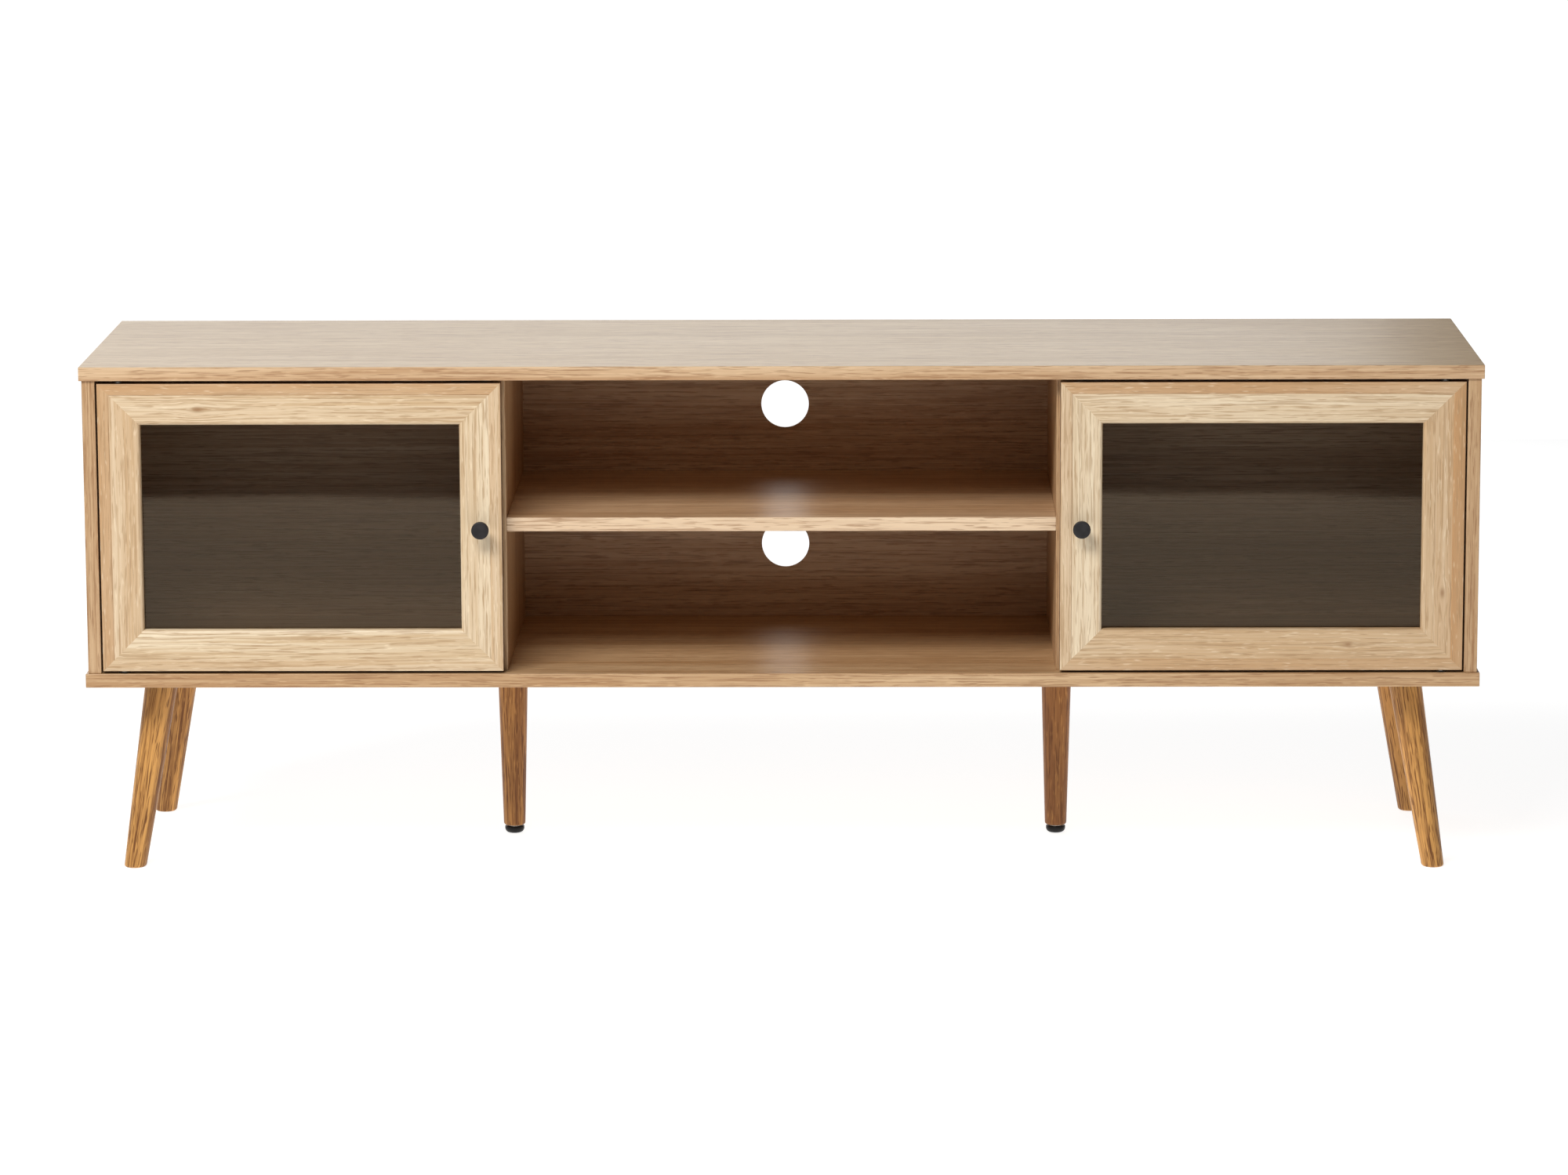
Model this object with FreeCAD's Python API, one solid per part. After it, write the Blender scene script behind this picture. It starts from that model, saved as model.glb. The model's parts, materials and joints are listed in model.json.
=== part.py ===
import FreeCAD, Part
import math
import os

# Media cabinet: a long low case on six turned legs. Two glazed doors close the outer bays and an
# open bay with one shelf lies between them.
# Millimetres. X runs along the case, Y from front to back, Z up. The origin is on the floor, under
# the middle of the whole footprint, knobs included.

Vector = FreeCAD.Vector
X = Vector(1, 0, 0)
Y = Vector(0, 1, 0)
Z = Vector(0, 0, 1)

# Case
overall_length = 1600.0
overall_height = 593.0
case_depth = 400.0
leg_height = 221.0
panel_thickness = 16.0
upright_thickness = 15.0
board_arris = 0.8
end_overhang = 3.0
front_overhang = 3.0
centre_bay_width = 630.0
shelf_rise = 162.0
shelf_back_gap = 0.5

# Back panels and their grooves
back_thickness = 3.0
back_inset = 30.0
groove_depth = 6.0
groove_end_clearance = 0.5
groove_side_clearance = 0.1
cable_hole_diameter = 57.0
upper_cable_hole_lift = -0.5
lower_cable_hole_lift = 7.5

# Doors
door_thickness = 18.0
door_side_gap = 2.0
door_bottom_gap = 2.5
door_top_gap = 3.5
divider_reveal = 4.0
door_to_divider_gap = 1.5
rail_width = 48.0
rail_arris = 1.0
outer_band_width = 13.0
outer_band_step = 0.8
inner_lip_radius = 4.5
glass_thickness = 3.0
glass_setback = 12.0
rabbet_width = 7.0
glass_edge_clearance = 1.0
bead_width = 6.0
spline_length = 24.0
spline_width = 20.0
spline_thickness = 2.5

# Door pivots: a pin at the top and bottom of the hinge stile, each in a flanged bush
pivot_setback = 8.0
pivot_pin_diameter = 5.0
pivot_running_clearance = 0.05
pin_in_door = 14.0
pin_in_bush = 7.0
pin_collar_diameter = 9.0
pin_collar_thickness = 0.9
bush_diameter = 10.0
bush_length = 8.0
bush_flange_diameter = 14.0
bush_flange_thickness = 1.2

# Knobs
knob_diameter = 20.0
knob_projection = 22.0
knob_head_thickness = 6.0
knob_edge_radius = 1.2
knob_stem_diameter = 9.0
knob_base_diameter = 13.0
knob_base_height = 3.0
knob_screw_diameter = 4.0
knob_screw_clearance = 0.2
knob_screw_engagement = 10.0
knob_screw_head_diameter = 8.0
knob_screw_head_height = 2.2

# Magnetic catches under the top panel and strike plates on the doors
catch_width = 40.0
catch_depth = 16.0
catch_height = 14.0
catch_divider_gap = 6.0
catch_gap = 0.6
catch_body_edge = 1.0
magnet_width = 18.0
magnet_depth = 6.0
magnet_height = 8.0
strike_width = 36.0
strike_height = 12.0
strike_thickness = 1.2
strike_edge_gap = 0.5
strike_screw_diameter = 3.0
strike_screw_length = 11.0
catch_screw_diameter = 3.2
catch_screw_spacing = 30.0
catch_screw_engagement = 10.0
catch_screw_head_drop = 1.0

# Knock-down fixings: cam locks, their bolts and plain dowels
cam_diameter = 15.0
cam_depth = 12.5
cam_edge_distance = 34.0
cam_slot_width = 1.4
cam_slot_length = 9.0
cam_slot_depth = 2.0
cam_channel_diameter = 7.8
cam_channel_past_centre = 4.0
bolt_stem_diameter = 6.0
bolt_head_diameter = 7.2
bolt_head_length = 3.0
bolt_thread_length = 11.0
fixing_inset = 60.0
dowel_diameter = 8.0
dowel_length = 30.0
dowel_seat = 10.0
dowel_inset = 100.0
dowel_end_clearance = 1.0
shelf_fixing_front_inset = 62.5
shelf_fixing_rear_inset = 37.0

# Legs
leg_top_diameter = 38.0
corner_foot_diameter = 25.0
corner_leg_end_inset = 80.5
corner_leg_edge_inset = 67.0
splay_along = 35.0
splay_across = 20.0
foot_edge_radius = 3.0
centre_leg_top_diameter = 37.0
centre_foot_diameter = 24.0
centre_leg_setback = 230.0
leg_plate_size = 64.0
leg_plate_thickness = 2.5
leg_plate_corner_radius = 8.0
plate_screw_spacing = 50.0
plate_screw_diameter = 4.0
plate_screw_head_diameter = 7.6
plate_screw_length = 14.0
hanger_diameter = 8.0
hanger_in_leg = 35.0
hanger_above_plate = 7.0
hanger_end_clearance = 1.0
hanger_pocket_diameter = 16.0
hanger_pocket_depth = 10.0

# Levelling feet under the two centre legs
leveller_diameter = 23.0
leveller_height = 8.0
leveller_sole_radius = 5.5
leveller_crown_radius = 0.8
leveller_gap = 0.4
leveller_stud_diameter = 7.9
leveller_stud_seat = 5.0
leveller_stud_rise = 22.0
insert_bore_diameter = 8.0
insert_diameter = 12.0
insert_length = 14.0
insert_flange_diameter = 16.0
insert_flange_thickness = 1.0
stud_well_diameter = 9.2
stud_well_clearance = 4.0

# Places worked out from the values above
side_outer = overall_length / 2 - end_overhang
side_inner = side_outer - upright_thickness
divider_inner = centre_bay_width / 2
divider_outer = divider_inner + upright_thickness
divider_middle = divider_inner + upright_thickness / 2
footprint_depth = case_depth + knob_projection - front_overhang
front_edge = -footprint_depth / 2 + knob_projection - front_overhang
rear_edge = front_edge + case_depth
door_front = front_edge + front_overhang
door_back = door_front + door_thickness
divider_front = door_back + door_to_divider_gap
back_rear = rear_edge - back_inset
back_front = back_rear - back_thickness
case_floor = leg_height + panel_thickness
case_ceiling = overall_height - panel_thickness
shelf_bottom = case_floor + shelf_rise
shelf_top = shelf_bottom + panel_thickness
door_bottom = case_floor + door_bottom_gap
door_top = case_ceiling - door_top_gap
door_hinge_edge = -side_inner + door_side_gap
door_free_edge = -divider_inner - divider_reveal
pivot_x = door_hinge_edge + rail_width / 2
pivot_y = door_front + pivot_setback
knob_x = door_free_edge - rail_width / 2
knob_z = (door_bottom + door_top) / 2
leg_plate_underside = leg_height - leg_plate_thickness
catch_middle = -divider_outer - catch_divider_gap - catch_width / 2
strike_back = door_back + strike_thickness
catch_front = strike_back + catch_gap


def box(x0, x1, y0, y1, z0, z1):
    return Part.makeBox(x1 - x0, y1 - y0, z1 - z0, Vector(x0, y0, z0))


def rod(start, direction, diameter, length):
    return Part.makeCylinder(diameter / 2, length, start, direction)


def joined(shapes):
    result = shapes[0].fuse(shapes[1:])
    return result.removeSplitter()


def mirrored(shape):
    return shape.mirror(Vector(0, 0, 0), X)


def both_sides(shapes):
    return shapes + [mirrored(shape) for shape in shapes]


def bored(shape, cutters):
    for cutter in cutters:
        if shape.BoundBox.intersect(cutter.BoundBox):
            shape = shape.cut(cutter)
    return shape


def board(x0, x1, y0, y1, z0, z1, arris=board_arris):
    """A board with lightly rounded edges, kept well within its own thickness."""
    plain = box(x0, x1, y0, y1, z0, z1)
    thinnest = min(x1 - x0, y1 - y0, z1 - z0)
    return plain.makeFillet(min(arris, thinnest / 4), plain.Edges)


def countersunk_screw(head, direction, head_diameter, shank_diameter, length):
    """A flat-headed screw with a cross recess; head is the centre of its flat face."""
    head_height = (head_diameter - shank_diameter) / 2
    cone = Part.makeCone(head_diameter / 2, shank_diameter / 2, head_height, head, direction)
    shank = rod(head, direction, shank_diameter, length)
    return bored(joined([cone, shank]), cross_recess(head, direction, head_diameter * 0.55, 1.0, 1.2))


def cross_recess(face_centre, direction, length, width, depth):
    """Two crossed slots sunk into a face, square to a main axis direction."""
    slots = []
    for spin in (0, 90):
        slot = Part.makeBox(length, width, depth, Vector(-length / 2, -width / 2, 0))
        slot.rotate(Vector(0, 0, 0), Z, spin)
        turned = FreeCAD.Placement(face_centre, FreeCAD.Rotation(Z, direction))
        slot.Placement = turned.multiply(slot.Placement)
        slots.append(slot)
    return slots


def screw_hole(head, direction, head_diameter, shank_diameter, length):
    head_height = (head_diameter - shank_diameter) / 2
    cone = Part.makeCone(head_diameter / 2, shank_diameter / 2, head_height, head, direction)
    return joined([cone, rod(head, direction, shank_diameter, length)])


# ---------------------------------------------------------------- knock-down fixings

def cam_fixing(face_point, into_board, to_mate, depth_of_axis):
    """One cam lock, its bolt, the cuts in the board that holds the cam and the cut in its mate.

    face_point is the cam's centre on the board's face, cam_edge_distance from the board's end.
    """
    axis_point = face_point + into_board * depth_of_axis
    channel_start = axis_point - to_mate * cam_channel_past_centre
    channel_length = cam_channel_past_centre + cam_edge_distance
    channel = rod(channel_start, to_mate, cam_channel_diameter, channel_length)
    pocket = rod(face_point, into_board, cam_diameter, cam_depth)
    cam = bored(pocket, [channel] + cross_recess(
        face_point, into_board, cam_slot_length, cam_slot_width, cam_slot_depth))
    bolt_start = axis_point - to_mate * bolt_head_length / 2
    bolt_length = bolt_head_length / 2 + cam_edge_distance + bolt_thread_length
    bolt = joined([
        rod(bolt_start, to_mate, bolt_stem_diameter, bolt_length),
        rod(bolt_start, to_mate, bolt_head_diameter, bolt_head_length),
    ])
    mate_hole = rod(axis_point + to_mate * cam_edge_distance, to_mate, bolt_stem_diameter, bolt_thread_length)
    return cam, bolt, joined([pocket, channel]), mate_hole


def dowel_fixing(end_point, to_mate):
    """A dowel across a joint. end_point lies on the face where the two boards meet."""
    in_board = dowel_length - dowel_seat
    dowel = rod(end_point - to_mate * in_board, to_mate, dowel_diameter, dowel_length)
    dowel = dowel.makeChamfer(dowel_diameter / 10, dowel.Edges)
    hole_start = end_point - to_mate * (in_board + dowel_end_clearance)
    hole = rod(hole_start, to_mate, dowel_diameter, dowel_length + 2 * dowel_end_clearance)
    return dowel, hole


def upright_fixings():
    """Cams, bolts and dowels at both ends of the side panels and dividers, left half."""
    cams, bolts, dowels, cuts = [], [], [], []
    uprights = (
        (-side_inner, -X, -(side_inner + side_outer) / 2),
        (-divider_outer, X, -divider_middle),
    )
    for face_x, into_board, middle_x in uprights:
        for end_z, to_mate in ((case_floor, -Z), (case_ceiling, Z)):
            for y in (front_edge + fixing_inset, rear_edge - fixing_inset):
                face_point = Vector(face_x, y, end_z) - to_mate * cam_edge_distance
                cam, bolt, pocket, hole = cam_fixing(face_point, into_board, to_mate, upright_thickness / 2)
                cams.append(cam)
                bolts.append(bolt)
                cuts += [pocket, hole]
            for y in (front_edge + dowel_inset, rear_edge - dowel_inset):
                dowel, hole = dowel_fixing(Vector(middle_x, y, end_z), to_mate)
                dowels.append(dowel)
                cuts.append(hole)
    return cams, bolts, dowels, cuts


def shelf_fixings():
    """Two cams and a dowel at the left end of the centre shelf; the cams open downwards."""
    cams, bolts, dowels, cuts = [], [], [], []
    shelf_middle = (shelf_bottom + shelf_top) / 2
    for y in (divider_front + shelf_fixing_front_inset, back_front - shelf_fixing_rear_inset):
        face_point = Vector(-divider_inner + cam_edge_distance, y, shelf_bottom)
        cam, bolt, pocket, hole = cam_fixing(face_point, Z, -X, panel_thickness / 2)
        cams.append(cam)
        bolts.append(bolt)
        cuts += [pocket, hole]
    middle_y = (divider_front + back_front) / 2
    dowel, hole = dowel_fixing(Vector(-divider_inner, middle_y, shelf_middle), -X)
    return cams, bolts, dowels + [dowel], cuts + [hole]


# ---------------------------------------------------------------- legs

def corner_leg_ends(side, end):
    """Foot and top centres of a corner leg; side is -1 left or 1 right, end is -1 front or 1 rear."""
    top_x = side * (overall_length / 2 - corner_leg_end_inset)
    case_middle = (front_edge + rear_edge) / 2
    top_y = case_middle + end * (case_depth / 2 - corner_leg_edge_inset)
    foot = Vector(top_x + side * splay_along, top_y + end * splay_across, 0)
    return foot, Vector(top_x, top_y, leg_height)


def centre_leg_ends(side):
    x = side * divider_middle
    y = front_edge + centre_leg_setback
    return Vector(x, y, 0), Vector(x, y, leg_height)


def tapered_leg(foot, top, foot_diameter, top_diameter, start_z):
    """A turned cone along the line from foot to top, sawn level at start_z and under its plate."""
    axis = top - foot
    length = axis.Length
    axis.normalize()
    spare = leg_top_diameter
    slope = (top_diameter - foot_diameter) / 2 / length
    cone = Part.makeCone(
        foot_diameter / 2 - slope * spare, top_diameter / 2 + slope * spare, length + 2 * spare,
        foot - axis * spare, axis)
    reach = overall_length
    slab = box(-reach, reach, -reach, reach, start_z, leg_plate_underside)
    leg = cone.common(slab)
    sole_edges = [edge for edge in leg.Edges if edge.BoundBox.ZMax < start_z + 0.01]
    return leg.makeFillet(foot_edge_radius, sole_edges)


def hanger_bolt(foot, top):
    """The stud that ties a leg to its plate, with the cuts it needs in leg, plate and bottom panel."""
    axis = top - foot
    axis.normalize()
    start = top - axis * hanger_in_leg
    stud = rod(start, axis, hanger_diameter, hanger_in_leg + hanger_above_plate)
    bore = rod(start - axis * hanger_end_clearance, axis, hanger_diameter,
               hanger_in_leg + hanger_above_plate + hanger_end_clearance)
    pocket = rod(Vector(top.x, top.y, leg_height), Z, hanger_pocket_diameter, hanger_pocket_depth)
    return stud, bore, pocket


def leg_plate(top, stud_bore):
    """A square steel plate with rounded corners, four countersunk screws and their holes."""
    half = leg_plate_size / 2
    plate = box(top.x - half, top.x + half, top.y - half, top.y + half, leg_plate_underside, leg_height)
    corner_edges = [edge for edge in plate.Edges if edge.BoundBox.ZLength > leg_plate_thickness / 2]
    plate = plate.makeFillet(leg_plate_corner_radius, corner_edges)
    screws, holes = [], []
    for dx in (-plate_screw_spacing / 2, plate_screw_spacing / 2):
        for dy in (-plate_screw_spacing / 2, plate_screw_spacing / 2):
            head = Vector(top.x + dx, top.y + dy, leg_plate_underside)
            size = (plate_screw_head_diameter, plate_screw_diameter, plate_screw_length)
            screws.append(countersunk_screw(head, Z, *size))
            holes.append(screw_hole(head, Z, *size))
    return bored(plate, holes + [stud_bore]), screws, holes


def leveller(side):
    """A plastic pad with a rounded sole, on a stud that screws into a flanged insert in the leg's end."""
    foot, top = centre_leg_ends(side)
    pad = rod(foot, Z, leveller_diameter, leveller_height)
    sole = [edge for edge in pad.Edges if edge.BoundBox.ZMax < 0.01]
    pad = pad.makeFillet(leveller_sole_radius, sole)
    crown = [edge for edge in pad.Edges if edge.BoundBox.ZMin > leveller_height - 0.01]
    pad = pad.makeFillet(leveller_crown_radius, crown)
    stud_start = foot + Z * (leveller_height - leveller_stud_seat)
    stud = rod(stud_start, Z, leveller_stud_diameter, leveller_stud_seat + leveller_stud_rise)
    pad = pad.cut(stud)
    flange_z = leveller_height + leveller_gap
    flange = rod(foot + Z * flange_z, Z, insert_flange_diameter, insert_flange_thickness)
    barrel_start = foot + Z * (flange_z + insert_flange_thickness)
    barrel = rod(barrel_start, Z, insert_diameter, insert_length)
    insert_bore = rod(foot, Z, insert_bore_diameter, leg_height)
    insert = joined([flange, barrel]).cut(insert_bore)
    well = rod(foot, Z, stud_well_diameter, leveller_height + leveller_stud_rise + stud_well_clearance)
    return pad, stud, insert, [barrel, well]


# ---------------------------------------------------------------- doors, built on the left

def rail(start, end, inward):
    """One moulded and mitred member of a door frame.

    start and end lie on the door's outer edge in the plane of its front face; inward points to the
    glass. The section is drawn by width from the outer edge and depth from the front.
    """
    along = end - start
    along.normalize()

    def at(width, depth):
        return start + inward * width + Y * depth

    def line(a, b):
        return Part.LineSegment(at(*a), at(*b)).toShape()

    def quarter_round(a, b, centre, radius):
        middle_w = centre[0] + math.copysign(radius * math.sqrt(0.5), (a[0] + b[0]) / 2 - centre[0])
        middle_d = centre[1] - radius * math.sqrt(0.5)
        return Part.Arc(at(*a), at(middle_w, middle_d), at(*b)).toShape()

    lip_start = rail_width - inner_lip_radius
    lip_end = outer_band_step + inner_lip_radius
    rabbet_edge = rail_width - rabbet_width
    band_end = outer_band_width + outer_band_step
    corners = [
        (rail_arris, 0), (outer_band_width, 0), (band_end, outer_band_step), (lip_start, outer_band_step),
        (rail_width, lip_end), (rail_width, glass_setback), (rabbet_edge, glass_setback),
        (rabbet_edge, door_thickness), (0, door_thickness), (0, rail_arris),
    ]
    edges = [line(a, b) for a, b in zip(corners[:3], corners[1:4])]
    edges.append(quarter_round(corners[3], corners[4], (lip_start, lip_end), inner_lip_radius))
    edges += [line(a, b) for a, b in zip(corners[4:9], corners[5:10])]
    edges.append(quarter_round(corners[9], corners[0], (rail_arris, rail_arris), rail_arris))
    section = Part.Face(Part.Wire(edges))
    moulding = section.extrude(end - start)
    mitre = [start, end, end + (inward - along) * rail_width, start + (inward + along) * rail_width, start]
    wedge = Part.Face(Part.makePolygon(mitre)).extrude(Y * door_thickness)
    return moulding.common(wedge)


def corner_spline(corner, to_side, to_end):
    """A flat hardwood spline let in across the mitre at one corner of a door."""
    centre = corner + (to_side + to_end) * (rail_width / 2) + Y * glass_setback
    along = (to_side + to_end) * (spline_length / 2 * math.sqrt(0.5))
    across = (to_side - to_end) * (spline_width / 2 * math.sqrt(0.5))
    outline = [centre + along + across, centre + along - across,
               centre - along - across, centre - along + across, centre + along + across]
    return Part.Face(Part.makePolygon(outline)).extrude(Y * spline_thickness)


def door_frame(cuts):
    """Four rails and the splines in their mitres."""
    low_hinge = Vector(door_hinge_edge, door_front, door_bottom)
    low_free = Vector(door_free_edge, door_front, door_bottom)
    high_hinge = Vector(door_hinge_edge, door_front, door_top)
    high_free = Vector(door_free_edge, door_front, door_top)
    splines = [
        corner_spline(low_hinge, X, Z), corner_spline(low_free, -X, Z),
        corner_spline(high_hinge, X, -Z), corner_spline(high_free, -X, -Z),
    ]
    cuts = cuts + splines
    return {
        "bottom_rail": bored(rail(low_hinge, low_free, Z), cuts),
        "top_rail": bored(rail(high_hinge, high_free, -Z), cuts),
        "hinge_stile": bored(rail(low_hinge, high_hinge, X), cuts),
        "knob_stile": bored(rail(low_free, high_free, -X), cuts),
        "corner_splines": splines,
    }


def glazing():
    """The pane and the one-piece bead that keeps it in the rabbet."""
    pane_margin = rail_width - rabbet_width + glass_edge_clearance
    pane_front = door_front + glass_setback
    pane_back = pane_front + glass_thickness
    pane = box(door_hinge_edge + pane_margin, door_free_edge - pane_margin, pane_front, pane_back,
               door_bottom + pane_margin, door_top - pane_margin)
    bead_margin = rail_width - rabbet_width
    inner_margin = bead_margin + bead_width
    outer = box(door_hinge_edge + bead_margin, door_free_edge - bead_margin, pane_back, door_back,
                door_bottom + bead_margin, door_top - bead_margin)
    inner = box(door_hinge_edge + inner_margin, door_free_edge - inner_margin, pane_back, door_back,
                door_bottom + inner_margin, door_top - inner_margin)
    return pane, outer.cut(inner)


def pivot_pin(door_end, outward):
    """A collared pin fixed in the door's end, standing out into a bush."""
    gap = door_bottom_gap if outward.z < 0 else door_top_gap
    start = Vector(pivot_x, pivot_y, door_end) - outward * pin_in_door
    pin = rod(start, outward, pivot_pin_diameter, pin_in_door + gap + pin_in_bush)
    collar = rod(Vector(pivot_x, pivot_y, door_end), outward, pin_collar_diameter, pin_collar_thickness)
    return joined([pin, collar]), rod(start, outward, pivot_pin_diameter, pin_in_door)


def pivot_bush(case_face, outward):
    """A flanged bush let into the case where a pin turns, and the seat it needs."""
    face = Vector(pivot_x, pivot_y, case_face)
    seat = rod(face, outward, bush_diameter, bush_length)
    flange = rod(face, -outward, bush_flange_diameter, bush_flange_thickness)
    bore = rod(face - outward * bush_flange_thickness, outward,
               pivot_pin_diameter + 2 * pivot_running_clearance, bush_length + bush_flange_thickness)
    return joined([seat, flange]).cut(bore), seat


def knob():
    """A flat round knob on a stem with a flared base, drilled for its screw."""
    foot = Vector(knob_x, door_front, knob_z)
    head_start = foot - Y * (knob_projection - knob_head_thickness)
    head = rod(head_start, -Y, knob_diameter, knob_head_thickness)
    rims = [edge for edge in head.Edges if edge.BoundBox.YLength < 0.01]
    head = head.makeFillet(knob_edge_radius, rims)
    stem = rod(foot, -Y, knob_stem_diameter, knob_projection - knob_head_thickness / 2)
    base = Part.makeCone(knob_base_diameter / 2, knob_stem_diameter / 2, knob_base_height, foot, -Y)
    return joined([head, stem, base]).cut(rod(foot, -Y, knob_screw_diameter, knob_screw_engagement))


def knob_screw():
    """A pan-headed machine screw through the stile from behind, and its clearance hole."""
    back = Vector(knob_x, door_back, knob_z)
    shank = rod(back, -Y, knob_screw_diameter, door_thickness + knob_screw_engagement)
    head = rod(back, Y, knob_screw_head_diameter, knob_screw_head_height)
    rim = [edge for edge in head.Edges if edge.BoundBox.YMin > back.y + knob_screw_head_height / 2]
    head = head.makeFillet(knob_screw_head_height / 3, rim)
    crown = back + Y * knob_screw_head_height
    recess = cross_recess(crown, -Y, knob_screw_head_diameter / 2, 1.0, knob_screw_head_height / 2)
    screw = bored(joined([shank, head]), recess)
    return screw, rod(back, -Y, knob_screw_diameter + 2 * knob_screw_clearance, door_thickness)


def strike():
    """The steel plate behind the top rail that the catch's magnet holds, and its screw."""
    top_z = door_top - strike_edge_gap
    half = strike_width / 2
    plate = box(catch_middle - half, catch_middle + half, door_back, strike_back,
                top_z - strike_height, top_z)
    corner_edges = [edge for edge in plate.Edges if edge.BoundBox.YLength > strike_thickness / 2]
    plate = plate.makeFillet(strike_height / 8, corner_edges)
    head = Vector(catch_middle, strike_back, top_z - strike_height / 2)
    size = (strike_screw_diameter + 2 * strike_thickness, strike_screw_diameter, strike_screw_length)
    hole = screw_hole(head, -Y, *size)
    return plate.cut(hole), countersunk_screw(head, -Y, *size), hole


def left_door():
    low_pin, low_bore = pivot_pin(door_bottom, -Z)
    high_pin, high_bore = pivot_pin(door_top, Z)
    screw, screw_bore = knob_screw()
    strike_plate, strike_screw, strike_bore = strike()
    pieces = door_frame([low_bore, high_bore, screw_bore, strike_bore])
    pane, bead = glazing()
    pieces.update({
        "glass_pane": pane,
        "glazing_bead": bead,
        "pivot_pins": [low_pin, high_pin],
        "knob": knob(),
        "knob_screw": screw,
        "strike_plate": strike_plate,
        "strike_screw": strike_screw,
    })
    return pieces


def left_catch():
    """Catch body under the top panel, its magnet and its two screws."""
    half = catch_width / 2
    body = box(catch_middle - half, catch_middle + half, catch_front, catch_front + catch_depth,
               case_ceiling - catch_height, case_ceiling)
    upright_edges = [edge for edge in body.Edges if edge.BoundBox.ZLength > catch_height / 2]
    body = body.makeFillet(catch_body_edge, upright_edges)
    middle_z = door_top - strike_edge_gap - strike_height / 2
    magnet = box(catch_middle - magnet_width / 2, catch_middle + magnet_width / 2,
                 catch_front, catch_front + magnet_depth,
                 middle_z - magnet_height / 2, middle_z + magnet_height / 2)
    screws, holes = [], []
    for offset in (-catch_screw_spacing / 2, catch_screw_spacing / 2):
        head = Vector(catch_middle + offset, catch_front + catch_depth / 2,
                      case_ceiling - catch_height + catch_screw_head_drop)
        length = catch_height - catch_screw_head_drop + catch_screw_engagement
        size = (2 * catch_screw_diameter, catch_screw_diameter, length)
        screws.append(countersunk_screw(head, Z, *size))
        sink = rod(head, -Z, 2 * catch_screw_diameter, catch_screw_head_drop)
        holes += [screw_hole(head, Z, *size), sink]
    return bored(body, [magnet] + holes), magnet, screws, holes


# ---------------------------------------------------------------- case

def back_panel(x0, x1):
    """One back panel between two uprights, reaching into grooves all round, and its groove cut."""
    reach = groove_depth - groove_end_clearance
    panel = box(x0 - reach, x1 + reach, back_front, back_rear, case_floor - reach, case_ceiling + reach)
    groove = box(x0 - groove_depth, x1 + groove_depth,
                 back_front - groove_side_clearance, back_rear + groove_side_clearance,
                 case_floor - groove_depth, case_ceiling + groove_depth)
    return panel, groove


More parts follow.
